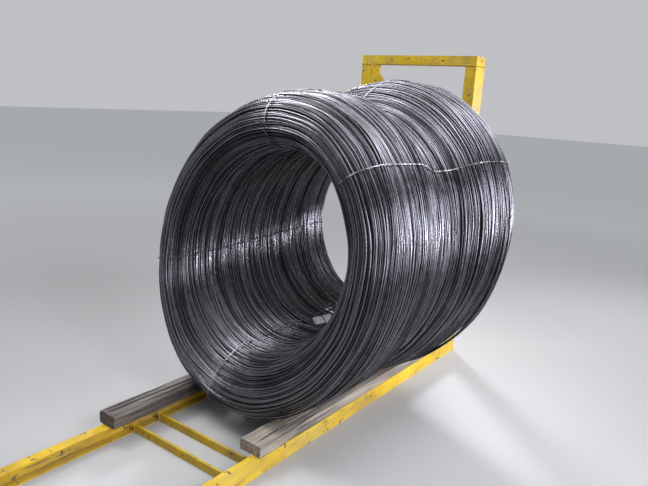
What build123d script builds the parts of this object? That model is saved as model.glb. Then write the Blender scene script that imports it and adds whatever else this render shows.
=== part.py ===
from build123d import *
from math import asin, cos, degrees, pi, radians, sin, sqrt, tan
import os

os.makedirs("parts", exist_ok=True)

# Coil of drawn wire lying on its side on a low steel rack. Millimetres, +Z up.
# The rack runs along +Y, and the coil's near end faces -Y. The floor is Z = 0. Pieces are made with
# X = 0 on the middle of the rack, and the whole is then moved so that X = 0 is the middle of its width.

# Coil
FRONT_OD = 1232.0
REAR_OD = 1294.0
WAIST_OD = 1098.0
BORE_D = 787.0
COIL_LENGTH = 943.0
FRONT_SHOULDER = 120.0      # rounded outer edge of the near end, along the axis
FRONT_SHOULDER_H = 83.0     # and across it
FRONT_MOUTH = 171.0         # rounded mouth of the bore at the near end, along the axis
REAR_SHOULDER = 92.0
REAR_SHOULDER_H = 111.0
REAR_MOUTH = 77.0
WAIST_PLACE = 483.0         # from the near end
WAIST_FALL = 210.0          # length of the waist on its near side
WAIST_RISE = 230.0
END_BANDS = 7               # bands of turns that show on each end
SIDE_BANDS = 10             # and round the outside
TURN_RELIEF = 6.0
LEAN = 12.0                 # degrees, how far the loose turns lean away at the top
COIL_TURN = 4.0             # degrees, how far the coil is turned on the rack
COIL_X, COIL_Y = -5.0, -165.0

# Tie wires and tag
TIE_WIRE_D = 6.0
TIE_LIFT = 12.6             # how far a tie wire's centre stands off the turns
TIE_ANGLES = {"tie_wire_top": 93.5, "tie_wire_right": 35.0,         # about the axis, at mid length
              "tie_wire_left": 192.0, "tie_wire_bottom": 262.0}
TIE_SKEW_ANGLES = {"tie_wire_top": 2.0, "tie_wire_right": 7.4,      # to the axis
                   "tie_wire_left": 0.0, "tie_wire_bottom": 0.0}
TAG_LENGTH, TAG_WIDTH, TAG_THICK = 88.0, 52.0, 1.5
TAG_ANGLE = -85.0
TAG_SKEW_ANGLE = 38.0       # from the coil's axis to the tag's long side
TAG_GAP = 1.0               # from the turns to the tag
TAG_DEPTH = 330.0           # from where the bore is straight to the tag's middle

# Rack
RACK_LENGTH = 2324.0
RACK_WIDTH = 588.0
RAIL_H, RAIL_W, RAIL_T = 63.0, 40.0, 5.0
POST_W, POST_DEPTH, POST_T = 56.0, 100.0, 5.0
PORTAL_H = 1530.0
TOP_BAR_H = 44.0
LEFT_POST_OUT = 66.0        # the left post stands this far outside its rail
RUNG_H, RUNG_T = 32.0, 10.0
RUNGS = {"rung_front": -497.0, "rung_rear": -380.0}
BRACE_W, BRACE_DEPTH, BRACE_T = 60.0, 30.0, 3.0
BRACE_DROP = 8.0            # from the top bar down to the brace, on the left post
BRACE_BACK = 4.0            # from the posts' front to the brace's face

# Wood under the coil
PLANK_W, PLANK_T, PLANK_LENGTH = 99.0, 44.0, 1440.0
TIMBER_W, TIMBER_T, TIMBER_LENGTH = 92.0, 50.0, 1660.0
WOOD_EDGE = 2.0             # eased edges
WOOD_BACK = 12.0            # gap between the wood and the portal
SEAT_GAP = 0.3

front_r, rear_r, waist_r, bore_r = FRONT_OD / 2, REAR_OD / 2, WAIST_OD / 2, BORE_D / 2
lean, turn = tan(radians(LEAN)), radians(COIL_TURN)
rack_near, rack_far = -RACK_LENGTH / 2, RACK_LENGTH / 2
portal_y = rack_far - POST_DEPTH
rail_out = RACK_WIDTH / 2
rail_in = rail_out - RAIL_W

plank_in = rail_out - PLANK_W
plank_top = RAIL_H + PLANK_T
timber_top = RAIL_H + TIMBER_T


def end_point(front, share, off=0.0):
    """Point off an end as (radius, distance from it): share is -1 in the bore, 0 at the tip, 1 outside."""
    if front:
        outer_r, high, long, mouth = front_r, FRONT_SHOULDER_H, FRONT_SHOULDER, FRONT_MOUTH
    else:
        outer_r, high, long, mouth = rear_r, REAR_SHOULDER_H, REAR_SHOULDER, REAR_MOUTH
    tip_r = outer_r - high
    wide, deep = (high, long) if share > 0 else (tip_r - bore_r, mouth)
    across, along = sin(share * pi / 2), cos(share * pi / 2)
    slant = sqrt((across / wide) ** 2 + (along / deep) ** 2)
    r = tip_r + wide * across + off * across / wide / slant
    return r, deep * (1 - along) - off * along / deep / slant


def end_bands(front):
    """Zigzag of the turn bands on an end, from the bore's mouth to the outside."""
    steps = 2 * END_BANDS
    return [end_point(front, 2 * i / steps - 1, TURN_RELIEF * (i % 2)) for i in range(steps + 1)]


def waist_point(share):
    """Point of the waist, from -1 at its near side through 0 at its bottom to 1 at its far side."""
    side_r = front_r if share < 0 else rear_r
    length = WAIST_FALL if share < 0 else WAIST_RISE
    return waist_r + (side_r - waist_r) * sin(share * pi / 2) ** 2, WAIST_PLACE + share * length


def side_bands():
    """Zigzag of the turn bands along the waist, from its far side to its near side."""
    steps = 2 * SIDE_BANDS
    smooth = [waist_point(1 - 2 * i / steps) for i in range(steps + 1)]
    return [(r - TURN_RELIEF * (i % 2), y) for i, (r, y) in enumerate(smooth)]


def coil_outline():
    """Closed half section of the coil as (radius, distance from the near end)."""
    near = end_bands(True)
    far = [(r, COIL_LENGTH - y) for r, y in end_bands(False)]
    with BuildSketch(Plane.XY) as sketch:
        with BuildLine():
            Polyline(*far, *side_bands(), *reversed(near), close=True)
        make_face()
    return sketch.sketch


def solve(function, low, high):
    """Root of a rising function between two bounds, by halving."""
    for _ in range(40):
        middle = (low + high) / 2
        if function(middle) < 0:
            low = middle
        else:
            high = middle
    return (low + high) / 2


outline = coil_outline()
spots = [edge @ (i / 12) for edge in outline.edges() for i in range(13)]
outer = [p for p in spots if p.X > (waist_r + bore_r) / 2]
front = [p for p in outer if p.Y <= WAIST_PLACE]
rear = [p for p in outer if p.Y >= WAIST_PLACE]


def hang(points, edge_x, rise):
    """How far the coil hangs below the near end of its axis, over an edge along the rack at edge_x."""
    hangs = []
    for p in points:
        drop = p.X
        for _ in range(5):
            along = p.Y + lean * (rise * p.Y - drop)
            across = (edge_x - COIL_X - along * sin(turn)) / cos(turn)
            drop = sqrt((p.X + SEAT_GAP) ** 2 - across ** 2)
        hangs.append(drop - rise * p.Y)
    return max(hangs)


# The near and the far band both rest on the plank's inner edge, and the timber is pushed up to the coil
plank_edge = plank_in + WOOD_EDGE
rise = solve(lambda slope: hang(front, plank_edge, slope) - hang(rear, plank_edge, slope), -0.1, 0.3)
coil_z = plank_top + hang(outer, plank_edge, rise)
timber_edge = solve(lambda x: coil_z - timber_top - hang(outer, -x, rise), 0.0, rail_out)
timber_in = timber_edge - WOOD_EDGE
lying = [[cos(turn), (1 + lean * rise) * sin(turn), lean * sin(turn), COIL_X],
         [-sin(turn), (1 + lean * rise) * cos(turn), lean * cos(turn), COIL_Y],
         [0, rise, 1, coil_z]]


def placed(r, y, angle):
    """Where a point of the coil lies, from its radius, its distance from the near end and its angle."""
    point = (r * cos(radians(angle)), y, r * sin(radians(angle)), 1)
    return Vector(*[sum(a * b for a, b in zip(row, point)) for row in lying])


def wire_coil():
    """The whole coil as one turned solid, slumped as it lies in the rack."""
    return revolve(outline, Axis.Y, 360).transform_geometry(Matrix(lying + [[0, 0, 0, 1]]))


def tie_route():
    """Points of a tie wire's loop as (radius, distance from the near end), from inside the bore."""
    inside = bore_r - TIE_WIRE_D / 2 - 2 * SEAT_GAP
    straight = COIL_LENGTH - FRONT_MOUTH - REAR_MOUTH
    inner = [(inside, FRONT_MOUTH + share * straight) for share in (0.96, 0.5, 0.04)]
    shares = (-0.9, -0.7, -0.5, -0.3, -0.1, 0.15, 0.4, 0.65, 0.9)
    near = [end_point(True, share, TIE_LIFT) for share in shares]
    far = [end_point(False, share, TIE_LIFT) for share in reversed(shares)]
    over = [waist_point(share) for share in (-1, -0.6, -0.2, 0.2, 0.6, 1)]
    over = [(r + TIE_LIFT, y) for r, y in over]
    return inner + near + over + [(r, COIL_LENGTH - y) for r, y in far]


def tie_wire(angle, skew):
    """Loop of wire through the bore and back over the turns, in one plane, skewed or not to the axis."""
    points = []
    for r, y in tie_route():
        aside = (COIL_LENGTH / 2 - y) * tan(radians(skew))
        points.append(placed(r, y, angle + degrees(asin(aside / r))))
    route = Polyline(*points, close=True)
    section = Plane(route @ 0, z_dir=route % 0) * RegularPolygon(TIE_WIRE_D / 2, 6)
    return sweep(section, path=route, transition=Transition.RIGHT)


def coil_tag():
    """Blank tag that lies askew on the turns at the bottom of the bore."""
    skew = radians(TAG_SKEW_ANGLE)
    reach = TAG_LENGTH / 2 * sin(skew) + TAG_WIDTH / 2 * cos(skew)
    middle_r = sqrt((bore_r - TAG_GAP) ** 2 - reach ** 2) - TAG_THICK / 2
    tag = Rot(X=TAG_SKEW_ANGLE) * Box(TAG_THICK, TAG_LENGTH, TAG_WIDTH)
    tag = Rot(Z=-COIL_TURN) * Rot(X=degrees(rise)) * Rot(Y=-TAG_ANGLE) * tag
    return Pos(placed(middle_r, FRONT_MOUTH + TAG_DEPTH, TAG_ANGLE)) * tag


def channel(length, height, width, wall):
    """Channel along +Y from the origin, its web at X = 0 and its open side towards -X."""
    body = Box(width, length, height, align=(Align.MAX, Align.MIN, Align.MIN))
    hollow = Box(width - wall, length, height - 2 * wall, align=(Align.MAX, Align.MIN, Align.MIN))
    return body - Pos(-wall, 0, wall) * hollow


def rail(side):
    """Long floor rail of the rack, its web outwards."""
    bar = channel(portal_y - rack_near, RAIL_H, RAIL_W, RAIL_T)
    if side < 0:
        bar = mirror(bar, about=Plane.YZ)
    return Pos(side * rail_out, rack_near, 0) * bar


def rung(y):
    """Flat bar on edge between the two rails."""
    bar = Box(2 * rail_in, RUNG_T, RUNG_H, align=(Align.CENTER, Align.CENTER, Align.MIN))
    return Pos(0, y, 0) * bar


portal_in_left = POST_W - rail_out - LEFT_POST_OUT
portal_in_right = rail_out - POST_W


def box_section(width, depth, height):
    """Closed box section from its lower front left corner."""
    low = (Align.MIN, Align.MIN, Align.MIN)
    outer_box = Box(width, depth, height, align=low)
    inner_box = Box(width - 2 * POST_T, depth - 2 * POST_T, height - 2 * POST_T, align=low)
    return outer_box - Pos(POST_T, POST_T, POST_T) * inner_box


def post(left_x):
    """Upright of the portal, from the floor to the top bar."""
    return Pos(left_x, portal_y, 0) * box_section(POST_W, POST_DEPTH, PORTAL_H - TOP_BAR_H)


def top_bar():
    """Bar across both posts."""
    width = portal_in_right - portal_in_left + 2 * POST_W
    bar = box_section(width, POST_DEPTH, TOP_BAR_H)
    return Pos(portal_in_left - POST_W, portal_y, PORTAL_H - TOP_BAR_H) * bar


def sill():
    """Bar on the floor between the posts."""
    bar = box_section(portal_in_right - portal_in_left, POST_DEPTH, RAIL_H)
    return Pos(portal_in_left, portal_y, 0) * bar


def slanted_bar(high, wide, depth):
    """Bar at 45 degrees between the posts, down from this height on the left one, centred on Y = 0."""
    low = high - (portal_in_right - portal_in_left)
    upright = wide * sqrt(2)
    with BuildSketch(Plane.XZ) as face:
        with BuildLine():
            Polyline((portal_in_left, high), (portal_in_left, high - upright),
                     (portal_in_right, low - upright), (portal_in_right, low), close=True)
        make_face()
    return extrude(face.sketch, depth / 2, both=True)


def brace():
    """Diagonal box section across the portal, its open ends against the posts."""
    high = PORTAL_H - TOP_BAR_H - BRACE_DROP
    hollow = slanted_bar(high - BRACE_T * sqrt(2), BRACE_W - 2 * BRACE_T, BRACE_DEPTH - 2 * BRACE_T)
    bar = slanted_bar(high, BRACE_W, BRACE_DEPTH) - hollow
    return Pos(0, portal_y + BRACE_BACK + BRACE_DEPTH / 2, 0) * bar


def wood(side, inner, width, thick, length):
    """Length of sawn wood that lies on a rail, with slightly eased edges."""
    piece = Box(width, length, thick, align=(Align.MIN, Align.MAX, Align.MIN))
    piece = chamfer(piece.edges().filter_by(Axis.Y), WOOD_EDGE)
    if side < 0:
        piece = mirror(piece, about=Plane.YZ)
    return Pos(side * inner, portal_y - WOOD_BACK, RAIL_H) * piece


parts = {
    "wire_coil": wire_coil(),
    "coil_tag": coil_tag(),
    "rail_left": rail(-1),
    "rail_right": rail(1),
    "post_left": post(portal_in_left - POST_W),
    "post_right": post(portal_in_right),
    "top_bar": top_bar(),
    "sill": sill(),
    "portal_brace": brace(),
    "plank_right": wood(1, plank_in, PLANK_W, PLANK_T, PLANK_LENGTH),
    "timber_left": wood(-1, timber_in, TIMBER_W, TIMBER_T, TIMBER_LENGTH),
}
parts.update({name: tie_wire(TIE_ANGLES[name], TIE_SKEW_ANGLES[name]) for name in TIE_ANGLES})
parts.update({name: rung(y) for name, y in RUNGS.items()})

boxes = [shape.bounding_box() for shape in parts.values()]
middle_x = (min(box.min.X for box in boxes) + max(box.max.X for box in boxes)) / 2
for name, shape in parts.items():
    export_step(Pos(-middle_x, 0, 0) * shape, f"parts/{name}.step")
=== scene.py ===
from math import asin, cos, hypot, pi, radians, sin, sqrt, tan
from random import Random

import bmesh
import bpy
from mathutils import Matrix, Vector
from mathutils.noise import noise as rough_field


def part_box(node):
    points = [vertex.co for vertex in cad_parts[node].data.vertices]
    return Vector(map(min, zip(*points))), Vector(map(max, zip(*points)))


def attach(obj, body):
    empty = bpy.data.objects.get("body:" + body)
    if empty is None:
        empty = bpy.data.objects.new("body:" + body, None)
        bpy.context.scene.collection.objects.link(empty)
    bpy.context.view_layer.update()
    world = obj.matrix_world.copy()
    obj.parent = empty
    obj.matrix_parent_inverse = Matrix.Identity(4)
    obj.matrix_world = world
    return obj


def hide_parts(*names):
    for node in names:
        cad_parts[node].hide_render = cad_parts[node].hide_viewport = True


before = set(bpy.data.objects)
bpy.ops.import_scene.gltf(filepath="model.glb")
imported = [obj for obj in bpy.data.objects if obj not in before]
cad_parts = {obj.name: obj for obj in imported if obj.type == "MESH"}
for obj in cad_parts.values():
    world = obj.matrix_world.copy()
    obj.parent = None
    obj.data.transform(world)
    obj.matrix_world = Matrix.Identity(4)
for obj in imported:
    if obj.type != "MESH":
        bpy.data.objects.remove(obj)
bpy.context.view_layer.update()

bl_info = {
    "name": "Coil of drawn wire",
    "version": (1, 0, 0),
    "blender": (4, 5, 0),
    "location": "View3D > Sidebar > Wire coil",
    "description": "Dresses a coil of drawn wire on a low steel rack",
    "category": "Object",
}

# Camera: width and focal length in pixels, place in metres from the rack's middle, and its right and up
PHOTO_WIDTH = 648
FOCAL_PX = 620.0
SENSOR_MM = 36.0
CAMERA_PLACE = (1.565, -1.838, 1.29)
CAMERA_RIGHT = (0.799, 0.598, 0.058)
CAMERA_UP = (-0.182, 0.147, 0.972)

RACK_MIDDLE = (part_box("rail_left")[0][0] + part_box("rail_right")[1][0]) / 2

# Loose turns: ranges of their depth and pitch, as shares, and how they wind
SINK_RANGE = (-0.4, 1.0)
PITCH_RANGE = (0.85, 1.2)
TURN_TILT = 0.003  # radians either way
TURNS_APART = 7.31  # from turn to turn, in the noise that makes each one wander by itself
DRIFT_CHANGE = 8.0  # how much faster the shared drift changes along the axis than across it
SHIFT_SHARES = (1.0, 0.3, 1.0)  # less of the shift goes along the axis
SAG_NARROWNESS = 4.0  # the higher, the shorter the stretch of a turn that hangs out
TOP_LOOSE, UNDER_LOOSE = 0.002, 0.003
CORE_SIDES = 96

# Under turns against the upper ones: painted shade (their colours as a share of the upper ones'), pitch,
# depth in wires, and wander
UNDER_PAINTED_SHADE, UNDER_PITCH, UNDER_DEPTH, UNDER_WANDER = 0.65, 1.3, 1.5, 1.5

# Slack turns: how many, the first one's place before the far edge, their step along it and inwards
SLACK_COUNT, SLACK_START, SLACK_STEP, SLACK_SINK = 6, 0.065, 0.012, 0.002

# Tie wire's tail from its knot as (aside, off the turns, along it), and the tag's wire in the tag's axes
TAIL = ((-0.004, 0.001, 0.0), (0.010, 0.0045, 0.004), (0.022, 0.004, 0.007), (0.034, 0.002, 0.007))
STRAP = (
    (-0.004, -0.046, -0.010), (-0.002, -0.034, 0.003), (0.0, -0.016, 0.006), (0.001, 0.004, 0.005),
    (-0.001, 0.020, 0.006), (0.001, 0.034, 0.005), (0.004, 0.046, -0.010),
)
STRAP_RADIUS = 0.0013

# Tag: its hole's place as a share of the length, corners drawn in, and the rise of its curl, lip and waves
HOLE_PLACE = -0.40
CORNERS_IN = (0.965, 0.94)
CURL, LIP, WAVES = 0.0055, 0.003, 0.0025
TAG_THICKNESS = 0.0009

# Wood: steps across and along it, corner, ragged ends, width of worn edges, taper of splits
ACROSS_STEP, ALONG_STEP = 0.0026, 0.011
WOOD_CORNER = 0.002
RAGGED = 0.006
WORN_WIDTH = 0.014
SPLIT_TAPER = 0.06

# Weld: lowest point, and smallest and largest drop as shares of the drop radius
BEAD_FOOT = 0.004
DROP_SIZES = (0.75, 1.25)

FLOOR_HALF = 30.0
WHITE = (1.0, 1.0, 1.0)
COOL = (0.94, 0.93, 1.0)


# Coil as it is turned, before it slumps

class CoilShape:
    """Sizes and pose of the turned coil in metres, as the CAD model has them."""

    def __init__(self, props):
        self.bore_r = props.bore / 2
        self.length = props.length
        self.ends = {
            True: (props.near_outside / 2, *props.near_edge),
            False: (props.far_outside / 2, *props.far_edge),
        }
        self.waist_r = props.waist / 2
        self.waist_place, self.waist_fall, self.waist_rise = props.waist_along
        self.waist_sag = props.waist_sag
        lean, turn, rise = tan(props.lean), props.turn, props.rise
        self.lying = Matrix((
            (cos(turn), (1 + lean * rise) * sin(turn), lean * sin(turn), RACK_MIDDLE + props.place[0]),
            (-sin(turn), (1 + lean * rise) * cos(turn), lean * cos(turn), props.place[1]),
            (0.0, rise, 1.0, props.place[2]),
            (0.0, 0.0, 0.0, 1.0),
        ))

    def end_point(self, near, share, off=0.0):
        """Point off an end as (radius, depth): share is -1 at the bore, 0 at the tip, 1 outside."""
        outer_r, high, long, mouth = self.ends[near]
        tip_r = outer_r - high
        wide, deep = (high, long) if share > 0 else (tip_r - self.bore_r, mouth)
        across, along = sin(share * pi / 2), cos(share * pi / 2)
        slant = hypot(across / wide, along / deep)
        r = tip_r + wide * across + off * across / wide / slant
        return r, deep * (1 - along) - off * along / deep / slant

    def waist_point(self, share):
        """Point of the waist: share is -1 at its near side, 0 at its bottom, 1 at its far side."""
        side_r = self.ends[share < 0][0]
        length = self.waist_fall if share < 0 else self.waist_rise
        r = self.waist_r + (side_r - self.waist_r) * sin(share * pi / 2) ** 2
        return r, self.waist_place + share * length

    def stretches(self):
        """The outline's stretches in order round it, as {name: [(radius, depth), ...]}."""
        shares = [i / 24 for i in range(-24, 25)]
        near = [self.end_point(True, share) for share in shares]
        waist = [self.waist_point(i / 12 - 1) for i in range(25)]
        far = [self.end_point(False, share) for share in reversed(shares)]
        far = [(r, self.length - y) for r, y in far]
        return {
            "near_end": near,
            "outside": [near[-1]] + waist + [far[0]],
            "far_end": far,
            "bore": [far[-1], near[0]],
        }

    def hang(self, r, y):
        """How far below the axis an outer turn's centre hangs at the waist, so that its top stays."""
        share = (y - self.waist_place + self.waist_fall) / (self.waist_fall + self.waist_rise)
        if r <= self.waist_r * 0.99 or not 0 < share < 1:
            return 0.0
        full_r = self.ends[True][0] + share * (self.ends[False][0] - self.ends[True][0])
        return max(0.0, full_r - r) / 2 * self.waist_sag

    def turned(self, r, y, angle):
        """Point of the turned coil at an angle in radians about its axis."""
        return Vector((r * cos(angle), y, r * sin(angle)))

    def tie_route(self, lift, inside, angle):
        """A tie wire's loop as (radius, depth), from inside the bore and back over the turns."""
        near_mouth, far_mouth = self.ends[True][3], self.ends[False][3]
        straight = self.length - near_mouth - far_mouth
        inner = [(self.bore_r - inside, near_mouth + share * straight) for share in (0.96, 0.5, 0.04)]
        shares = (-0.9, -0.7, -0.5, -0.3, -0.1, 0.15, 0.4, 0.65, 0.9)
        near = [self.end_point(True, share, lift) for share in shares]
        far = [self.end_point(False, share, lift) for share in reversed(shares)]
        over = [self.waist_point(share) for share in (-1, -0.6, -0.2, 0.2, 0.6, 1)]
        over = [(r + self.hang(r, y) * (1 - sin(angle)) + lift, y) for r, y in over]
        return inner + near + over + [(r, self.length - y) for r, y in far]


def seats(coil, points, pitch, depth, random, loose):
    """Uneven turns along a stretch of the outline, some depth under it, as (radius, depth, hang)."""
    spots = []
    left = pitch / 2
    for (r0, y0), (r1, y1) in zip(points, points[1:]):
        run = hypot(r1 - r0, y1 - y0)
        if run == 0:
            continue
        out_r, out_y = (y1 - y0) / run, -(r1 - r0) / run
        while left <= run:
            share = left / run
            sink = depth + random.uniform(*SINK_RANGE) * loose
            r, y = r0 + share * (r1 - r0), y0 + share * (y1 - y0)
            hang = coil.hang(r, y)
            spots.append((r + hang - sink * out_r, y - sink * out_y, hang))
            left += pitch * random.uniform(*PITCH_RANGE)
        left -= run
    return spots


# Blender helpers

def new_mesh(name, verts, edges=(), faces=()):
    """Mesh of points, edges and faces."""
    mesh = bpy.data.meshes.new(name)
    mesh.from_pydata(verts, edges, faces)
    return mesh


def new_object(name, data):
    """Object linked into the scene."""
    made = bpy.data.objects.new(name, data)
    bpy.context.collection.objects.link(made)
    return made


def feed(tree, socket, value):
    """Gives an input a value, or links it to a socket or to a node's first output."""
    if isinstance(value, bpy.types.Node):
        value = value.outputs[0]
    if isinstance(value, bpy.types.NodeSocket):
        tree.links.new(value, socket)
    elif value is not None:
        socket.default_value = value


def node(tree, kind, **settings):
    """New node of a kind; each setting is one of its own or an input by name, as feed takes it."""
    made = tree.nodes.new(kind)
    for key, value in settings.items():
        if hasattr(made, key):
            setattr(made, key, value)
        else:
            feed(tree, made.inputs[key.replace("_", " ")], value)
    return made


def operate(tree, kind, operation, *values):
    """Node with an operation on some values, in order."""
    made = node(tree, kind, operation=operation)
    for socket, value in zip(made.inputs, values):
        feed(tree, socket, value)
    return made


def math(tree, operation, *values):
    """Maths on numbers."""
    return operate(tree, "ShaderNodeMath", operation, *values)


def vector_math(tree, operation, *values):
    """Maths on vectors."""
    return operate(tree, "ShaderNodeVectorMath", operation, *values)


def scaled(tree, vector, scale):
    """A vector times a number."""
    made = vector_math(tree, "SCALE", vector)
    feed(tree, made.inputs["Scale"], scale)
    return made


def waves(tree, scale, detail, roughness, where=None):
    """Random vector about nought that swings with a place, by default the points' own."""
    made = node(tree, "ShaderNodeTexNoise", Vector=where, Scale=scale, Detail=detail, Roughness=roughness)
    return vector_math(tree, "SUBTRACT", made.outputs["Color"], (0.5, 0.5, 0.5))


def stored(tree, name, value):
    """Node that keeps a number on each point under a name."""
    return node(tree, "GeometryNodeStoreNamedAttribute", Name=name, Value=value)


def kept(tree, name):
    """Number kept on each point under a name."""
    return node(tree, "GeometryNodeInputNamedAttribute", Name=name)


def new_group(name, source, outcome, *settings):
    """Geometry Nodes group with (name, socket kind, default) settings; gives (tree, inputs, output)."""
    tree = bpy.data.node_groups.new(name, "GeometryNodeTree")
    face = tree.interface
    face.new_socket(source, in_out="INPUT", socket_type="NodeSocketGeometry")
    for label, kind, value in settings:
        face.new_socket(label, in_out="INPUT", socket_type="NodeSocket" + kind).default_value = value
    face.new_socket("Material", in_out="INPUT", socket_type="NodeSocketMaterial")
    face.new_socket(outcome, in_out="OUTPUT", socket_type="NodeSocketGeometry")
    return tree, node(tree, "NodeGroupInput").outputs, node(tree, "NodeGroupOutput").inputs[outcome]


def through(tree, shape, *steps):
    """Leads a shape through nodes by their first sockets; gives the last one."""
    for step in steps:
        feed(tree, step.inputs[0], shape)
        shape = step
    return shape


def close_group(tree, given, outcome, shape, *steps):
    """Leads a shape through nodes and out of the group, smooth, painted and as real mesh."""
    smooth = node(tree, "GeometryNodeSetShadeSmooth")
    paint = node(tree, "GeometryNodeSetMaterial", Material=given["Material"])
    real = node(tree, "GeometryNodeRealizeInstances")
    feed(tree, outcome, through(tree, shape, *steps, smooth, paint, real))
    return tree


# Laid turns

def laid_rings(tree, given):
    """Circles of curve about the axis, one through each seat, each a little tilted."""
    seat = node(tree, "ShaderNodeSeparateXYZ", Vector=node(tree, "GeometryNodeInputPosition"))
    low = math(tree, "MULTIPLY", seat.outputs["Z"], -1.0)
    centre = node(tree, "ShaderNodeCombineXYZ", Y=seat.outputs["Y"], Z=low)
    ring = node(tree, "GeometryNodeCurvePrimitiveCircle", Radius=1.0, Resolution=given["Ring Points"])
    tilt = node(
        tree, "FunctionNodeRandomValue", data_type="FLOAT_VECTOR",
        Min=scaled(tree, (-1.0, -1.0, -1.0), given["Tilt"]),
        Max=scaled(tree, (1.0, 1.0, 1.0), given["Tilt"]),
        Seed=given["Seed"],
    )
    radius = kept(tree, "turn_radius")
    stand = vector_math(tree, "ADD", tilt.outputs["Value"], (pi / 2, 0.0, 0.0))
    return through(
        tree, given["Seats"],
        stored(tree, "turn_radius", seat.outputs["X"]),
        stored(tree, "turn_number", node(tree, "GeometryNodeInputIndex")),
        node(tree, "GeometryNodeSetPosition", Position=centre),
        node(tree, "GeometryNodeInstanceOnPoints", Instance=ring, Rotation=stand, Scale=radius),
        node(tree, "GeometryNodeRealizeInstances"),
    )


def sagging(tree, given, here):
    """How far a place on a slack turn hangs out towards the slack angle."""
    x, z = (math(tree, name, given["Slack Angle"]) for name in ("COSINE", "SINE"))
    towards = node(tree, "ShaderNodeCombineXYZ", X=x, Z=z)
    outward = vector_math(tree, "NORMALIZE", vector_math(tree, "MULTIPLY", here, (1.0, 0.0, 1.0)))
    facing = vector_math(tree, "DOT_PRODUCT", outward, towards).outputs["Value"]
    share = math(tree, "POWER", math(tree, "MAXIMUM", facing, 0.0), SAG_NARROWNESS)
    return scaled(tree, towards, math(tree, "MULTIPLY", share, given["Slack"]))


def winding(tree, given, turn, number):
    """How far a turn winds off its circle: by itself, with its neighbours, out of centre and slack."""
    here = node(tree, "GeometryNodeInputPosition")
    apart = node(tree, "ShaderNodeCombineXYZ", Y=math(tree, "MULTIPLY", turn, TURNS_APART))
    own_place = vector_math(tree, "ADD", here, apart)
    shared_place = vector_math(tree, "MULTIPLY", here, (1.0, DRIFT_CHANGE, 1.0))
    wander = scaled(tree, waves(tree, 2.6, 2.0, 0.45, own_place), given["Wander"])
    drift = scaled(tree, waves(tree, 2.2, 2.0, 0.5, shared_place), given["Drift"])
    jump = node(
        tree, "FunctionNodeRandomValue", data_type="FLOAT_VECTOR",
        Min=[-share for share in SHIFT_SHARES], Max=SHIFT_SHARES, ID=number, Seed=given["Seed"],
    )
    shift = scaled(tree, jump.outputs["Value"], given["Shift"])
    loose = vector_math(tree, "ADD", shift, sagging(tree, given, here))
    return vector_math(tree, "ADD", vector_math(tree, "ADD", wander, drift), loose)


def turns_tree():
    """Group that lays one loose ring of wire through each point of a mesh."""
    tree, given, outcome = new_group(
        "Laid turns", "Seats", "Wire",
        ("Wire Radius", "Float", 0.003),
        ("Ring Points", "Int", 96),
        ("Section Points", "Int", 5),
        ("Wander", "Float", 0.008),
        ("Drift", "Float", 0.02),
        ("Slack", "Float", 0.0),
        ("Slack Angle", "Float", -0.4),
        ("Shift", "Float", 0.003),
        ("Tilt", "Float", 0.004),
        ("Seed", "Int", 3),
    )
    turn = kept(tree, "turn_number")
    number = node(tree, "FunctionNodeFloatToInt", Float=turn)
    tone = node(tree, "FunctionNodeRandomValue", data_type="FLOAT", ID=number, Seed=given["Seed"])
    radius, sides = given["Wire Radius"], given["Section Points"]
    section = node(tree, "GeometryNodeCurvePrimitiveCircle", Radius=radius, Resolution=sides)
    return close_group(
        tree, given, outcome, laid_rings(tree, given),
        node(tree, "GeometryNodeSetPosition", Offset=winding(tree, given, turn, number)),
        stored(tree, "tone", tone.outputs["Value"]),
        node(tree, "GeometryNodeCurveToMesh", Profile_Curve=section),
    )


def run_tree(name, mesh, tree, **values):
    """Runs a group on a mesh, with inputs by name; gives a plain mesh."""
    maker = new_object(name + "_maker", mesh)
    modifier = maker.modifiers.new(tree.name, "NODES")
    modifier.node_group = tree
    for item in tree.interface.items_tree:
        if item.in_out == "INPUT" and item.name in values:
            modifier[item.identifier] = values[item.name]
    made = bpy.data.meshes.new_from_object(maker.evaluated_get(bpy.context.evaluated_depsgraph_get()))
    bpy.data.objects.remove(maker)
    bpy.data.meshes.remove(mesh)
    made.name = name
    return made


def add_piece(name, mesh, material=None):
    """Puts a finished mesh into the scene as a piece that rides on the one body."""
    if material:
        mesh.materials.append(material)
    piece = new_object(name, mesh)
    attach(piece, "root")
    return piece


def lay_turns(name, spots, coil, tree, **values):
    """Piece of loose turns through some seats, in the coil's lying pose."""
    mesh = run_tree(name, new_mesh(name + "_seats", spots), tree, **values)
    for attribute in ("turn_radius", "turn_number"):
        mesh.attributes.remove(mesh.attributes[attribute])
    mesh.transform(coil.lying)
    return add_piece(name, mesh)


def skin(rings, count, closed=False):
    """Faces between rings of points, and from the last to the first if closed."""
    faces = []
    for ring in range(rings if closed else rings - 1):
        here, there = ring * count, (ring + 1) % rings * count
        for i in range(count):
            k = (i + 1) % count
            faces.append((here + i, here + k, there + k, there + i))
    return faces


def core(coil, inset, material):
    """Dark body under the turns that closes the gaps between them, painted nearly black as the shade deep in
    the coil.
    """
    outline = [p for part in coil.stretches().values() for p in part[:-1]]
    inner = []
    for i, (r, y) in enumerate(outline):
        r0, y0 = outline[i - 1]
        r1, y1 = outline[(i + 1) % len(outline)]
        run = hypot(r1 - r0, y1 - y0) or 1.0
        hang = coil.hang(r, y)
        inner.append((r + hang - inset * (y1 - y0) / run, y + inset * (r1 - r0) / run, hang))
    verts = []
    for j in range(CORE_SIDES):
        for r, y, hang in inner:
            spot = coil.turned(r, y, 2 * pi * j / CORE_SIDES) - Vector((0.0, 0.0, hang))
            verts.append(coil.lying @ spot)
    mesh = new_mesh("coil_core", verts, faces=skin(CORE_SIDES, len(inner), closed=True))
    return add_piece("coil_core", mesh, material)


# Tie wires and tag

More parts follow.
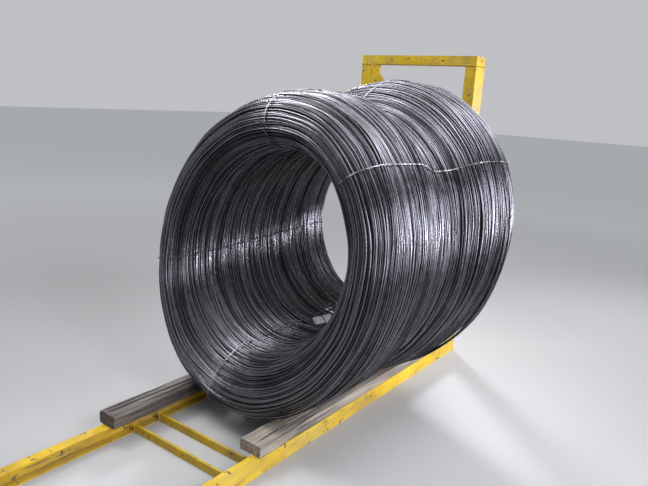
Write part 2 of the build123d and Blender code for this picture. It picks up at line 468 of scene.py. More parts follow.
def twist_tree():
    """Group that makes a twisted pair of strands along each path of a mesh."""
    tree, given, outcome = new_group(
        "Twisted pair", "Path", "Wire",
        ("Strand Radius", "Float", 0.0014),
        ("Step", "Float", 0.006),
        ("Twists per Metre", "Float", 18.0),
        ("Wobble", "Float", 0.004),
    )
    along = node(tree, "GeometryNodeSplineParameter").outputs["Factor"]
    length = node(tree, "GeometryNodeSplineLength").outputs["Length"]
    twists = math(tree, "ROUND", math(tree, "MULTIPLY", length, given["Twists per Metre"]))
    turned = math(tree, "MULTIPLY", math(tree, "MULTIPLY", along, twists), 2 * pi)
    radius = given["Strand Radius"]
    strand = node(tree, "GeometryNodeCurvePrimitiveCircle", Radius=radius, Resolution=6)
    wobble = scaled(tree, waves(tree, 9.0, 1.0, 0.5), given["Wobble"])
    pair = node(tree, "GeometryNodeJoinGeometry")
    for side in (1.0, -1.0):
        aside = node(tree, "ShaderNodeCombineXYZ", X=math(tree, "MULTIPLY", radius, side))
        moved = node(tree, "GeometryNodeTransform", Geometry=strand, Translation=aside)
        feed(tree, pair.inputs["Geometry"], moved)
    return close_group(
        tree, given, outcome, given["Path"],
        node(tree, "GeometryNodeMeshToCurve"),
        node(tree, "GeometryNodeCurveSplineType", spline_type="CATMULL_ROM"),
        node(tree, "GeometryNodeResampleCurve", mode="LENGTH", Length=given["Step"]),
        node(tree, "GeometryNodeSetPosition", Offset=wobble),
        node(tree, "GeometryNodeSetCurveTilt", Tilt=turned),
        node(tree, "GeometryNodeCurveToMesh", Profile_Curve=pair, Fill_Caps=True),
    )


def close_shape(shape, mesh):
    """Turns a bmesh's faces outwards and puts it into a mesh."""
    bmesh.ops.recalc_face_normals(shape, faces=shape.faces)
    shape.to_mesh(mesh)
    shape.free()


def path_mesh(name, *paths):
    """Mesh of edges along some paths, each a list of points and whether it closes."""
    verts, edges = [], []
    for points, closed in paths:
        first, count = len(verts), len(points)
        verts += points
        edges += [(first + i, first + (i + 1) % count) for i in range(count if closed else count - 1)]
    return new_mesh(name, verts, edges)


def tie(name, coil, strand, angle, skew, lift, inside, tail, tree, material):
    """Tie wire round the turns as a twisted pair, with its tail bent over at a knot."""
    loop = []
    for r, y in coil.tie_route(lift, inside, angle):
        off_line = (coil.length / 2 - y) * tan(skew)
        loop.append(coil.turned(r, y, angle + asin(off_line / r)))
    knot, towards = loop[tail], loop[tail + 1]
    outward = (knot * Vector((1, 0, 1))).normalized()
    sideways = outward.cross(towards - knot).normalized()
    ahead = (towards - knot).normalized()
    bent = [knot + sideways * aside + outward * off + ahead * along for aside, off, along in TAIL]
    mesh = path_mesh(name, (loop, True), (bent, False))
    made = run_tree(name, mesh, tree, Material=material, **{"Strand Radius": strand / 2})
    made.transform(coil.lying)
    piece = add_piece(name + "_pair", made)
    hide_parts(name)


def tag_sheet(length, width, hole):
    """Thin curled plate with clipped corners and a punched hole, as a bmesh."""
    sheet = bmesh.new()
    bmesh.ops.create_grid(sheet, x_segments=20, y_segments=12, size=0.5)
    for vert in sheet.verts:
        vert.co = Vector((vert.co.x * length, vert.co.y * width, 0.0))
    eye = min(sheet.verts, key=lambda vert: (vert.co - Vector((length * HOLE_PLACE, 0.0, 0.0))).length)
    middle = eye.co.copy()
    rim = {vert for face in eye.link_faces for vert in face.verts if vert is not eye}
    bmesh.ops.delete(sheet, geom=[eye], context="VERTS")
    for vert in rim:
        vert.co = middle + (vert.co - middle).normalized() * hole
    for vert in sheet.verts:
        if abs(vert.co.x) > length * 0.499 and abs(vert.co.y) > width * 0.499:
            vert.co.x *= CORNERS_IN[0]
            vert.co.y *= CORNERS_IN[1]
    for vert in sheet.verts:
        u, v = vert.co.x / length, vert.co.y / width
        wave = rough_field(Vector((u * 3.0, v * 2.0, 4.0))) * WAVES
        vert.co.z = CURL * (2 * u) ** 2 * (0.6 + u) + LIP * max(0.0, 2 * v) ** 2 + wave
    return sheet


def tag_pose(coil, props):
    """Matrix from the tag's own axes (long side, across, off the turns) to its place on the rack."""
    angle, skew = props.tag_angle, props.tag_skew
    out = Vector((cos(angle), 0.0, sin(angle)))
    round_way = Vector((-sin(angle), 0.0, cos(angle)))
    axis = Vector((0.0, 1.0, 0.0))
    long_way = axis * cos(skew) + round_way * sin(skew)
    flat = axis * sin(skew) - round_way * cos(skew)
    across = flat * cos(props.tag_tilt) - out * sin(props.tag_tilt)
    up = long_way.cross(across)
    reach = props.tag_length / 2 * sin(skew) + props.tag_width / 2 * cos(skew)
    middle_r = sqrt(coil.bore_r ** 2 - reach ** 2) - props.tag_lift
    place = coil.turned(middle_r, coil.ends[True][3] + props.tag_depth, angle)
    turn = Matrix((long_way, across, up)).transposed().to_4x4()
    return coil.lying @ Matrix.Translation(place) @ turn


# Wood and welds

def ring_of_section(width, height, step, corner):
    """Points round a section with eased corners as (x, z, outward x, outward z), from its middle."""
    points = []
    half_x, half_z = width / 2 - corner, height / 2 - corner
    for side in range(4):
        angle = side * pi / 2
        out = (cos(angle), sin(angle))
        tangent = (-out[1], out[0])
        reach, half = (half_x, half_z) if side % 2 == 0 else (half_z, half_x)
        count = max(2, round(2 * half / step))
        for i in range(count + 1):
            t = -half + 2 * half * i / count
            x, z = ((reach + corner) * off + t * along for off, along in zip(out, tangent))
            points.append((x, z, *out))
        middle = (cos(angle + pi / 4), sin(angle + pi / 4))
        x, z = (reach * off + half * along + corner * mid for off, along, mid in zip(out, tangent, middle))
        points.append((x, z, *middle))
    return points


def split_depth(splits, x, y):
    """How deep the splits, each (x, slope, start, end, width, depth), are at a point of a face."""
    deepest = 0.0
    for middle, slope, start, end, width, depth in splits:
        if start < y < end:
            wind = 0.004 * rough_field(Vector((y * 9.0, middle * 50.0, 0.0)))
            away = abs(x - middle - slope * (y - start) - wind) / width
            taper = min(1.0, (y - start) / SPLIT_TAPER, (end - y) / SPLIT_TAPER)
            deepest = max(deepest, depth * taper * max(0.0, 1.0 - away))
    return deepest


def wood_sink(x, y, z, size, wear, seed):
    """How deep grain and worn edges cut into wood, at a point from its middle line."""
    spot = Vector((x * 30, y * 2.5, z * 30)) + Vector((seed, 0, 0))
    rough = 0.0012 * abs(rough_field(spot)) + 0.0007 * abs(rough_field(spot * 3.1))
    edge = max(0.0, 1.0 - hypot(abs(x) - size.x / 2, abs(z) - size.z / 2) / WORN_WIDTH)
    bite = rough_field(Vector((y * 7.0, (x > 0) * 5.0 + (z > 0) * 11.0, seed))) - 0.12
    return rough + wear * edge * (0.25 + 2.2 * max(0.0, bite))


def beam(name, splits, side_splits, wear, seed, material):
    """Sawn wood in its node's place, with worn edges, splits and ragged ends."""
    low, high = (Vector(corner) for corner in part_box(name))
    middle, size = (low + high) / 2, high - low
    section = ring_of_section(size.x, size.z, ACROSS_STEP, WOOD_CORNER)
    count, rows = len(section), round(size.y / ALONG_STEP)
    verts = []
    for row in range(rows + 1):
        for x, z, out_x, out_z in section:
            y = low.y + row / rows * size.y
            if row in (0, rows):
                cut = RAGGED * abs(rough_field(Vector((x * 60, z * 60, seed + row))))
                y += cut if row == 0 else -cut
            sink = wood_sink(x, y, z, size, wear, seed)
            if abs(out_z) > 0.9:
                sink += split_depth(splits, x, y - low.y)
            elif abs(out_x) > 0.9:
                sink += split_depth(side_splits, z, y - low.y)
            verts.append((middle.x + x - out_x * sink, y, middle.z + z - out_z * sink))
    ends = [tuple(range(count)), tuple(rows * count + i for i in reversed(range(count)))]
    mesh = new_mesh(name, verts, faces=skin(rows + 1, count) + ends)
    shape = bmesh.new()
    shape.from_mesh(mesh)
    close_shape(shape, mesh)
    piece = add_piece(name + "_worn", mesh, material)
    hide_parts(name)


def bead_tree():
    """Group that lays a ragged row of weld drops along the edges of a mesh."""
    tree, given, outcome = new_group(
        "Weld bead", "Joints", "Bead",
        ("Drop Radius", "Float", 0.0035),
        ("Step", "Float", 0.0035),
        ("Seed", "Int", 5),
    )
    low, high = DROP_SIZES
    size = node(tree, "FunctionNodeRandomValue", data_type="FLOAT", Min=low, Max=high, Seed=given["Seed"])
    drop = node(tree, "GeometryNodeMeshUVSphere", Segments=7, Rings=5, Radius=given["Drop Radius"])
    return close_group(
        tree, given, outcome, given["Joints"],
        node(tree, "GeometryNodeMeshToCurve"),
        node(tree, "GeometryNodeResampleCurve", mode="LENGTH", Length=given["Step"]),
        node(tree, "GeometryNodeInstanceOnPoints", Instance=drop, Scale=size.outputs["Value"]),
    )


def weld_lines():
    """Edges of the rack's joints that carry weld, as lists of points."""
    lines = []
    for rung in ("rung_front", "rung_rear"):
        low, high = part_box(rung)
        for x in (low[0], high[0]):
            near, far = (x, low[1], BEAD_FOOT), (x, high[1], BEAD_FOOT)
            lines.append([near, (x, low[1], high[2]), (x, high[1], high[2]), far])
    for rail in ("rail_left", "rail_right"):
        low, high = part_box(rail)
        lines.append([(low[0], *high[1:]), tuple(high)])
    for post in ("post_left", "post_right"):
        (x0, y0, _), (x1, y1, z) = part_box(post)
        lines.append([(x0, y0, z), (x1, y0, z), (x1, y1, z), (x0, y1, z), (x0, y0, z)])
    return lines


# Materials

def new_material(name, **shader):
    """Material with a principled shader; gives (material, tree, shader node)."""
    made = bpy.data.materials.new(name)
    made.use_nodes = True
    tree = made.node_tree
    principled = tree.nodes["Principled BSDF"]
    for key, value in shader.items():
        principled.inputs[key.replace("_", " ")].default_value = value
    return made, tree, principled


def noise(tree, scale, detail=4.0, stretch=(1.0, 1.0, 1.0), roughness=0.5):
    """Noise in Object coordinates, stretched."""
    where = node(tree, "ShaderNodeTexCoord").outputs["Object"]
    place = node(tree, "ShaderNodeMapping", Vector=where, Scale=stretch)
    return node(tree, "ShaderNodeTexNoise", Vector=place, Scale=scale, Detail=detail, Roughness=roughness)


def ramp(tree, value, *stops):
    """Colour ramp over a value, from (place, colour) stops."""
    made = node(tree, "ShaderNodeValToRGB", Fac=value)
    steps = made.color_ramp.elements
    while len(steps) < len(stops):
        steps.new(0.5)
    for step, (place, colour) in zip(steps, stops):
        step.position = place
        step.color = (*colour, 1.0)
    return made


def spread(tree, value, low, high, from_low=0.3, from_high=0.7):
    """Value mapped from one range to another."""
    ranges = {"From_Min": from_low, "From_Max": from_high, "To_Min": low, "To_Max": high}
    return node(tree, "ShaderNodeMapRange", Value=value, **ranges)


def bump(tree, shader, height, strength, distance):
    """Bump from a height into a shader's normal."""
    made = node(tree, "ShaderNodeBump", Strength=strength, Distance=distance, Height=height)
    feed(tree, shader.inputs["Normal"], made)


def coat(tree, shader, colour, rough):
    """Leads a colour and a roughness into a shader."""
    feed(tree, shader.inputs["Base Color"], colour)
    feed(tree, shader.inputs["Roughness"], rough)


def over(tree, base, colour, share):
    """A plain colour laid over a base colour by a share; gives the mixed colour."""
    mix = node(tree, "ShaderNodeMix", data_type="RGBA", Factor=share, A=base, B=(*colour, 1.0))
    return mix.outputs["Result"]


def blend(tree, first, second, share):
    """Two values mixed, with the first one's share."""
    return math(tree, "ADD", math(tree, "MULTIPLY", first, share), math(tree, "MULTIPLY", second, 1 - share))


def wire_material(name, dark, light, metallic, rough, own_tone=0.0, sharpness=0.2):
    """Drawn steel: dark, oiled grey, with lighter turns and duller patches."""
    made, tree, shader = new_material(name, Metallic=metallic)
    dust = noise(tree, 45.0, 3.0)
    mixed = blend(tree, noise(tree, 6.0, 4.0), dust, 0.7)
    if own_tone:
        tone = node(tree, "ShaderNodeAttribute", attribute_name="tone")
        swing = math(tree, "MULTIPLY", math(tree, "SUBTRACT", tone.outputs["Fac"], 0.5), own_tone)
        mixed = math(tree, "ADD", mixed, swing)
    colour = ramp(tree, mixed, (0.5 - sharpness, dark), (0.5 + sharpness, light))
    coat(tree, shader, colour, spread(tree, dust, *rough))
    bump(tree, shader, noise(tree, 240.0, 2.0), 0.08, 0.0006)
    return made


def core_shade_material():
    """Painted shade: nearly black gaps between the turns, with the grain of deeper turns."""
    made, tree, shader = new_material("coil_core", Metallic=0.0)
    grain = noise(tree, 220.0, 3.0)
    colour = ramp(tree, grain, (0.35, (0.010, 0.010, 0.012)), (0.7, (0.035, 0.035, 0.04)))
    coat(tree, shader, colour, spread(tree, grain, 0.6, 0.85))
    bump(tree, shader, grain, 0.6, 0.004)
    return made


def paint_material():
    """Yellow paint, dulled by handling and floor dirt, with scuffs down to dark steel."""
    made, tree, shader = new_material("rack_paint", Specular_IOR_Level=0.2)
    cloud = noise(tree, 5.0, 5.0)
    dull, plain, fresh = (0.36, 0.225, 0.011), (0.54, 0.36, 0.016), (0.63, 0.45, 0.04)
    colour = ramp(tree, cloud, (0.3, dull), (0.55, plain), (0.75, fresh))
    chips = noise(tree, 34.0, 8.0, roughness=0.68)
    mask = spread(tree, chips, 0.0, 1.0, 0.60, 0.63)
    scrapes = spread(tree, noise(tree, 70.0, 6.0, (1.0, 0.08, 1.0), 0.6), 0.0, 0.8, 0.62, 0.68)
    dirt = noise(tree, 12.0, 6.0, (1.0, 0.25, 1.0))
    place = node(tree, "ShaderNodeSeparateXYZ", Vector=node(tree, "ShaderNodeTexCoord").outputs["Object"])
    low = spread(tree, place.outputs["Z"], 0.3, 0.0, 0.0, 0.05)
    grime = math(tree, "ADD", spread(tree, dirt, 0.0, 0.5, 0.46, 0.7), math(tree, "MULTIPLY", low, dirt))
    dulled = over(tree, colour, (0.21, 0.16, 0.09), grime)
    scuffed = over(tree, dulled, (0.11, 0.075, 0.05), math(tree, "MAXIMUM", mask, scrapes))
    coat(tree, shader, scuffed, spread(tree, cloud, 0.52, 0.72))
    bump(tree, shader, math(tree, "SUBTRACT", chips, mask), 0.3, 0.002)
    return made


def wood_material(name, dark, mid, light, stain):
    """Sawn wood with grain along Y, saw marks across it, dark stains and fine drying cracks."""
    made, tree, shader = new_material(name)
    grain = noise(tree, 30.0, 8.0, (3.2, 0.12, 3.2), 0.62)
    saw = noise(tree, 60.0, 3.0, (0.4, 3.0, 0.4))
    both = blend(tree, grain, noise(tree, 90.0, 4.0, (2.0, 0.05, 2.0)), 0.65)
    colour = ramp(tree, both, (0.34, dark), (0.5, mid), (0.66, light))
    stained = over(tree, colour, dark, spread(tree, noise(tree, 6.0, 5.0), 0.0, stain, 0.45, 0.65))
    open_grain = spread(tree, noise(tree, 75.0, 3.0, (1.6, 0.035, 1.6), 0.4), 0.0, 0.85, 0.62, 0.66)
    cracked = over(tree, stained, (0.02, 0.016, 0.013), open_grain)
    coat(tree, shader, cracked, spread(tree, grain, 0.65, 0.9))
    height = math(tree, "SUBTRACT", math(tree, "ADD", both, math(tree, "MULTIPLY", saw, 0.4)), open_grain)
    bump(tree, shader, height, 0.7, 0.003)
    return made


def tag_material():
    """Plain pale tag, a little dirty."""
    made, tree, shader = new_material("coil_tag")
    smudge = noise(tree, 60.0, 4.0)
    colour = ramp(tree, smudge, (0.35, (0.5, 0.52, 0.58)), (0.6, (0.74, 0.76, 0.82)))
    coat(tree, shader, colour, spread(tree, smudge, 0.45, 0.7))
    bump(tree, shader, smudge, 0.2, 0.001)
    return made


def floor_material():
    """Plain pale floor, paler far off, where less light falls on it."""
    made, tree, shader = new_material("floor")
    reach = vector_math(tree, "LENGTH", node(tree, "ShaderNodeTexCoord").outputs["Object"])
    far = spread(tree, reach.outputs["Value"], 0.0, 1.0, 2.2, 6.0)
    colour = ramp(tree, far, (0.0, (0.36, 0.36, 0.357)), (1.0, (0.66, 0.66, 0.655)))
    coat(tree, shader, colour, 0.8)
    return made


# Settings

def setting(kind, **fixed):
    """Maker of settings of a kind, each from its name, description and default."""
    def make(name, description, default):
        return kind(name=name, description=description, default=default, **fixed)
    return make


metres = setting(bpy.props.FloatProperty, precision=4, unit="LENGTH")
lengths = setting(bpy.props.FloatVectorProperty, precision=4, unit="LENGTH")
angle_of = setting(bpy.props.FloatProperty, subtype="ANGLE")
slope_of = setting(bpy.props.FloatProperty, precision=6)
share_of = setting(bpy.props.FloatProperty, subtype="FACTOR", min=0.0, max=1.0)
number_of = setting(bpy.props.IntProperty)
colour_of = setting(bpy.props.FloatVectorProperty, subtype="COLOR", min=0.0, max=1.0)


class CoilProps(bpy.types.PropertyGroup):
    """Sizes and looseness of the coil"""
    near_outside: metres("Near outside", "Outside diameter of the near end", 1.232)
    far_outside: metres("Far outside", "Outside diameter of the far end", 1.294)
    waist: metres("Waist", "Outside diameter where the coil is thinnest", 1.098)
    bore: metres("Eye", "Diameter of the coil's eye", 0.787)
    length: metres("Length", "Length along the axis", 0.943)
    near_edge: lengths(
        "Near edge", "Near end's rounding across and along, and depth of its mouth", (0.083, 0.120, 0.171))
    far_edge: lengths(
        "Far edge", "Far end's rounding across and along, and depth of its mouth", (0.111, 0.092, 0.077))
    waist_along: lengths(
        "Waist place", "Place of the waist from the near end, and its fall and rise", (0.483, 0.210, 0.230))
    waist_sag: share_of("Waist sag", "How far the waist's loose turns hang down to the line of the ends", 0.6)
    lean: angle_of("Lean", "How far the loose turns lean away at the top", radians(12.0))
    turn: angle_of("Turn on the rack", "How far the coil is turned on the rack", radians(4.0))
    rise: slope_of("Rise of the axis", "Rise of the axis for its length", 0.066847)
    place: lengths(
        "Place", "Middle of the near end from the rack's middle, along it and above the floor",
        (-0.005, -0.165, 0.686233))
    wire: metres("Wire", "Diameter of the drawn wire", 0.0055)
    pitch: metres("Pitch", "Distance from turn to turn", 0.0059)
    wander: metres("Wander", "How far each turn winds off its circle by itself", 0.015)
    drift: metres("Drift", "How far neighbouring turns wind off together", 0.028)
    shift: metres("Shift", "How far a turn is out of centre", 0.0026)
    slack: metres("Slack", "How far the slack turns hang out at the far end's side", 0.017)
    core_depth: metres("Core depth", "Depth of the dark core under the turns", 0.012)
    seed: number_of("Seed", "Chooses the random lay of the turns", 11)
    dark: colour_of("Dark steel", "Colour of the darkest stretches of wire", (0.050, 0.051, 0.058))
    light: colour_of("Light steel", "Colour of the lightest stretches of wire", (0.175, 0.175, 0.20))


class TieProps(bpy.types.PropertyGroup):
    """Tie wires and the tag"""
    lift: metres("Lift", "How far a tie wire's middle stands off the turns", 0.0060)
    strand: metres("Strand", "Diameter of each of the two strands", 0.0026)
    tag_length: metres("Tag length", "Length of the tag", 0.084)
    tag_width: metres("Tag width", "Width of the tag", 0.048)
    tag_hole: metres("Tag hole", "Radius of the punched hole", 0.0036)
    tag_lift: metres("Tag lift", "How far the tag's middle lies off the turns", 0.012)
    tag_depth: metres("Tag depth", "How far in the tag lies, from the end of the mouth", 0.335)
    tag_angle: angle_of("Tag angle", "Where the tag lies about the coil's axis", radians(-85.5))
    tag_skew: angle_of("Tag skew", "From the coil's axis to the tag's long side", radians(24.0))
    tag_tilt: angle_of("Tag tilt", "How far the tag's far side stands up off the turns", radians(17.0))
    bright: colour_of("Bright tie", "Colour of the bright tie wires", (0.48, 0.48, 0.5))
    # Painted shade: this near-black colour stands for the left tie wire lying in shade; the tag's wire wears
    # it too
    dull: colour_of("Dull tie", "Colour of the dull tie wires", (0.045, 0.04, 0.038))


class RackProps(bpy.types.PropertyGroup):
    """Looks of the rack and its wood"""
    plank_stain: share_of("Plank stains", "How strong the plank's stains are", 0.55)
    timber_stain: share_of("Timber stains", "How strong the timber's stains are", 0.8)
    plank_wear: metres("Plank wear", "How deep the plank's edges are worn", 0.004)
    timber_wear: metres("Timber wear", "How deep the timber's edges are worn", 0.008)


# Operators

class COIL_OT_turns(bpy.types.Operator):
    """Lay the turns of the coil and its dark core of painted shade"""
    bl_idname = "coil.turns"
    bl_label = "Lay turns"

    def execute(self, context):
        props = context.scene.coil_props
        coil = CoilShape(props)
        dark, light = Vector(props.dark), Vector(props.light)
        top = wire_material("drawn_wire", dark, light, 0.92, (0.16, 0.30), 0.7)
        # Painted shade: the under turns wear a darker copy of the drawn steel, as the upper turns shade them
        under = wire_material("drawn_wire_under_shaded", dark * UNDER_PAINTED_SHADE, light * UNDER_PAINTED_SHADE, 0.9, (0.28, 0.45))
        tree = turns_tree()
        random = Random(props.seed)
        radius = props.wire / 2
        shared = {"Wire Radius": radius, "Shift": props.shift, "Tilt": TURN_TILT, "Drift": props.drift}
        upper = {"Section Points": 6, "Wander": props.wander, "Seed": props.seed, "Material": top, **shared}
        wander = props.wander * UNDER_WANDER
        lower = {"Section Points": 4, "Wander": wander, "Seed": props.seed + 1, "Material": under, **shared}
        layers = (
            ("turns_", props.pitch, radius, TOP_LOOSE, upper),
            ("under_", props.pitch * UNDER_PITCH, props.wire * UNDER_DEPTH, UNDER_LOOSE, lower),
        )
        pieces = []
        for stretch, points in coil.stretches().items():
            for layer, pitch, depth, loose, values in layers:
                spots = seats(coil, points, pitch, depth, random, loose)
                pieces.append(lay_turns(layer + stretch, spots, coil, tree, **values))
        side_r, first = props.far_outside / 2, props.length - props.far_edge[1] - SLACK_START
        spots = [(side_r - SLACK_SINK * (i % 3), first + SLACK_STEP * i, 0.0) for i in range(SLACK_COUNT)]
        pieces.append(lay_turns("slack_turns", spots, coil, tree, **{**upper, "Slack": props.slack}))
        pieces.append(core(coil, props.core_depth, core_shade_material()))
        for piece in pieces:
            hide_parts("wire_coil")
        return {"FINISHED"}


class COIL_OT_ties(bpy.types.Operator):
    """Twist the tie wires round the turns"""
    bl_idname = "coil.ties"
    bl_label = "Twist ties"

    def execute(self, context):
        ties = context.scene.tie_props
        coil = CoilShape(context.scene.coil_props)
        bright, dull = Vector(ties.bright), Vector(ties.dull)
        shiny = wire_material("tie_wire", bright * 0.12, bright, 0.85, (0.25, 0.42), sharpness=0.05)
        # Painted shade: a near-black, dull copy of the tie wire for the left tie, which lies in shade; the
        # tag's wire uses it too
        shaded_tie = wire_material("tie_wire_dull_and_shaded", dull * 0.6, dull * 1.4, 0.3, (0.45, 0.6))
        tree = twist_tree()
        # Name, degrees round the axis and across it, share of the lift, depth in the bore, knot, material
        for name, angle, skew, share, inside, tail, material in (
            ("tie_wire_top", 93.5, 2.0, 1.0, 0.001, 9, shiny),
            ("tie_wire_right", 35.0, 7.4, 0.5, 0.001, 14, shiny),
            ("tie_wire_left", 192.0, 0.0, 0.1, 0.005, 4, shaded_tie),
            ("tie_wire_bottom", 262.0, 0.0, 1.3, 0.0, 5, shiny),
        ):
            lift = ties.lift * share
            tie(name, coil, ties.strand, radians(angle), radians(skew), lift, inside, tail, tree, material)
        return {"FINISHED"}


class COIL_OT_tag(bpy.types.Operator):
    """Lay the curled tag and its thin wire in the bore"""
    bl_idname = "coil.tag"
    bl_label = "Lay tag"

    def execute(self, context):
        ties = context.scene.tie_props
        coil = CoilShape(context.scene.coil_props)
        pose = tag_pose(coil, ties)
        dull = bpy.data.materials["tie_wire_dull_and_shaded"]
        sheet = tag_sheet(ties.tag_length, ties.tag_width, ties.tag_hole)
        bmesh.ops.solidify(sheet, geom=sheet.faces[:], thickness=TAG_THICKNESS)
        mesh = bpy.data.meshes.new("coil_tag")
        close_shape(sheet, mesh)
        mesh.transform(pose)
        piece = add_piece("tag_plate", mesh, tag_material())
        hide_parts("coil_tag")
        strap = path_mesh("tag_wire", ([pose @ Vector(point) for point in STRAP], False))
        values = {"Strand Radius": STRAP_RADIUS, "Wobble": 0.001, "Material": dull}
        add_piece("tag_wire", run_tree("tag_wire", strap, twist_tree(), **values))
        return {"FINISHED"}


class COIL_OT_wood(bpy.types.Operator):
    """Lay the worn plank and timber on the rails"""
    bl_idname = "coil.wood"
    bl_label = "Lay wood"

    def execute(self, context):
        props = context.scene.rack_props
        pale = (0.11, 0.092, 0.074), (0.25, 0.22, 0.18), (0.39, 0.35, 0.29)
        sooty = (0.028, 0.023, 0.019), (0.082, 0.067, 0.055), (0.17, 0.145, 0.12)
        plank = wood_material("plank_wood", *pale, props.plank_stain)
        timber = wood_material("old_wood", *sooty, props.timber_stain)
        beam("plank_right", [
            (0.012, 0.006, 0.0, 0.42, 0.004, 0.007),
            (-0.026, -0.004, 0.25, 0.85, 0.003, 0.005),
            (0.030, 0.0, 0.9, 1.43, 0.003, 0.006),
        ], [(0.004, 0.002, 0.0, 0.5, 0.003, 0.005)], props.plank_wear, 3.0, plank)
        beam("timber_left", [
            (-0.008, 0.010, 0.0, 0.65, 0.005, 0.012),
            (0.024, -0.012, 0.12, 0.9, 0.004, 0.008),
            (-0.030, 0.004, 0.0, 0.3, 0.004, 0.009),
            (0.006, 0.0, 0.8, 1.64, 0.004, 0.008),
        ], [
            (0.006, -0.012, 0.0, 0.55, 0.004, 0.010),
            (-0.010, 0.006, 0.2, 1.1, 0.003, 0.008),
        ], props.timber_wear, 8.0, timber)
        return {"FINISHED"}


class COIL_OT_rack(bpy.types.Operator):
    """Paint the rack and lay the welds at its joints"""
    bl_idname = "coil.rack"
    bl_label = "Paint rack"

    def execute(self, context):
        paint = paint_material()
        for name in (
            "rail_left", "rail_right", "rung_front", "rung_rear", "sill",
            "post_left", "post_right", "top_bar", "portal_brace",
        ):
            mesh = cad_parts[name].data
            mesh.materials.clear()
            mesh.materials.append(paint)
        joints = path_mesh("weld_beads", *((line, False) for line in weld_lines()))
        add_piece("weld_beads", run_tree("weld_beads", joints, bead_tree(), Material=paint))
        return {"FINISHED"}


def area_light(name, place, target, size, power, colour, spread_angle):
    """Soft rectangular light aimed at a point."""
    data = bpy.data.lights.new(name, "AREA")
    data.shape = "RECTANGLE"
    data.size, data.size_y = size
    data.energy = power
    data.color = colour
    data.spread = spread_angle
    light = new_object(name, data)
    light.location = place
    light.visible_camera = False
    light.rotation_euler = (Vector(target) - Vector(place)).to_track_quat("-Z", "Y").to_euler()


def set_floor():
    """Wide plain floor that belongs to the stage only."""
    corners = [(x * FLOOR_HALF, y * FLOOR_HALF, 0) for x, y in ((-1, -1), (1, -1), (1, 1), (-1, 1))]
    mesh = new_mesh("floor", corners, faces=[(0, 1, 2, 3)])
    mesh.materials.append(floor_material())
    floor = new_object("floor", mesh)


def set_world():
    """Even pale light from all round, with a plain grey backdrop."""
    world = bpy.data.worlds.new("studio")
    world.use_nodes = True
    tree = world.node_tree
    ground = tree.nodes["Background"]
    ground.inputs["Color"].default_value = (0.80, 0.83, 0.88, 1.0)
    ground.inputs["Strength"].default_value = 0.7
    backdrop = node(tree, "ShaderNodeBackground", Color=(0.52, 0.53, 0.55, 1.0), Strength=1.0)
    rays = node(tree, "ShaderNodeLightPath")
    seen = math(tree, "ADD", rays.outputs["Is Camera Ray"], rays.outputs["Is Glossy Ray"])
    seen = math(tree, "ADD", seen, rays.outputs["Is Transmission Ray"])
    choose = node(tree, "ShaderNodeMixShader")
    for socket, source in zip(choose.inputs, (seen, ground, backdrop)):
        feed(tree, socket, source)
    feed(tree, tree.nodes["World Output"].inputs["Surface"], choose)
    bpy.context.scene.world = world


def set_camera():
    """Camera where the photo was taken from."""
    data = bpy.data.cameras.new("camera")
    data.sensor_width = SENSOR_MM
    data.lens = FOCAL_PX / PHOTO_WIDTH * SENSOR_MM
    camera = new_object("camera", data)
    right = Vector(CAMERA_RIGHT).normalized()
    back = right.cross(Vector(CAMERA_UP)).normalized()
    turned = Matrix((right, back.cross(right), back)).transposed()
    place = Vector(CAMERA_PLACE) + Vector((RACK_MIDDLE, 0.0, 0.0))
    camera.matrix_world = Matrix.Translation(place) @ turned.to_4x4()
    bpy.context.scene.camera = camera


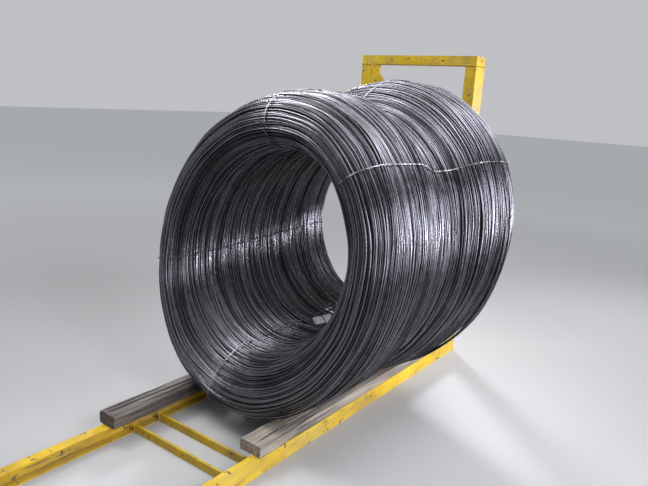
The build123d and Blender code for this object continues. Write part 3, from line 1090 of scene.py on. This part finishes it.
class COIL_OT_stage(bpy.types.Operator):
    """Set the floor, lights and camera"""
    bl_idname = "coil.stage"
    bl_label = "Set stage"

    def execute(self, context):
        set_floor()
        # Name, place, aim, width and height in metres, watts, colour, spread in radians
        for lamp in (
            ("overhead", (-0.2, 0.5, 3.3), (-0.1, 0.35, 0.6), (4.6, 3.0), 69, WHITE, 3.14),
            ("top_right", (1.0, 1.4, 3.2), (0.3, 0.5, 1.0), (1.6, 1.6), 13, COOL, 1.4),
            ("top_left", (-1.6, -0.5, 3.1), (0.0, 0.0, 1.3), (1.4, 1.4), 14, WHITE, 1.2),
            ("side_window", (4.2, 0.3, 1.3), (0.4, 0.3, 0.8), (6.0, 0.8), 17, COOL, 1.0),
            ("side_panel", (3.7, 0.3, 2.7), (0.4, 0.3, 0.9), (5.0, 1.5), 34, COOL, 1.0),
            ("back_window", (-2.7, 3.0, 2.3), (0.1, 0.35, 0.28), (1.6, 0.9), 11, COOL, 0.42),
            ("far_window", (2.6, 4.2, 0.85), (-0.1, 0.5, 0.6), (2.0, 0.7), 18, COOL, 0.8),
        ):
            area_light(*lamp)
        set_world()
        set_camera()
        context.scene.view_settings.view_transform = "Standard"
        return {"FINISHED"}


class COIL_PT_panel(bpy.types.Panel):
    """Sidebar panel of the coil"""
    bl_label = "Wire coil"
    bl_idname = "COIL_PT_panel"
    bl_space_type = "VIEW_3D"
    bl_region_type = "UI"
    bl_category = "Wire coil"

    def draw(self, context):
        layout = self.layout
        for attribute, group in GROUPS.items():
            for name in group.__annotations__:
                layout.prop(getattr(context.scene, attribute), name)
        for operator in OPERATORS:
            layout.operator(operator.bl_idname)


OPERATORS = (COIL_OT_turns, COIL_OT_ties, COIL_OT_tag, COIL_OT_wood, COIL_OT_rack, COIL_OT_stage)
GROUPS = {"coil_props": CoilProps, "tie_props": TieProps, "rack_props": RackProps}
CLASSES = (*GROUPS.values(), *OPERATORS, COIL_PT_panel)


def register():
    for item in CLASSES:
        bpy.utils.register_class(item)
    for attribute, group in GROUPS.items():
        setattr(bpy.types.Scene, attribute, bpy.props.PointerProperty(type=group))


def unregister():
    for attribute in GROUPS:
        delattr(bpy.types.Scene, attribute)
    for item in reversed(CLASSES):
        bpy.utils.unregister_class(item)


def main():
    register()
    bpy.ops.coil.turns()
    bpy.ops.coil.ties()
    bpy.ops.coil.tag()
    bpy.ops.coil.wood()
    bpy.ops.coil.rack()
    bpy.ops.coil.stage()


if __name__ == "__main__":
    main()
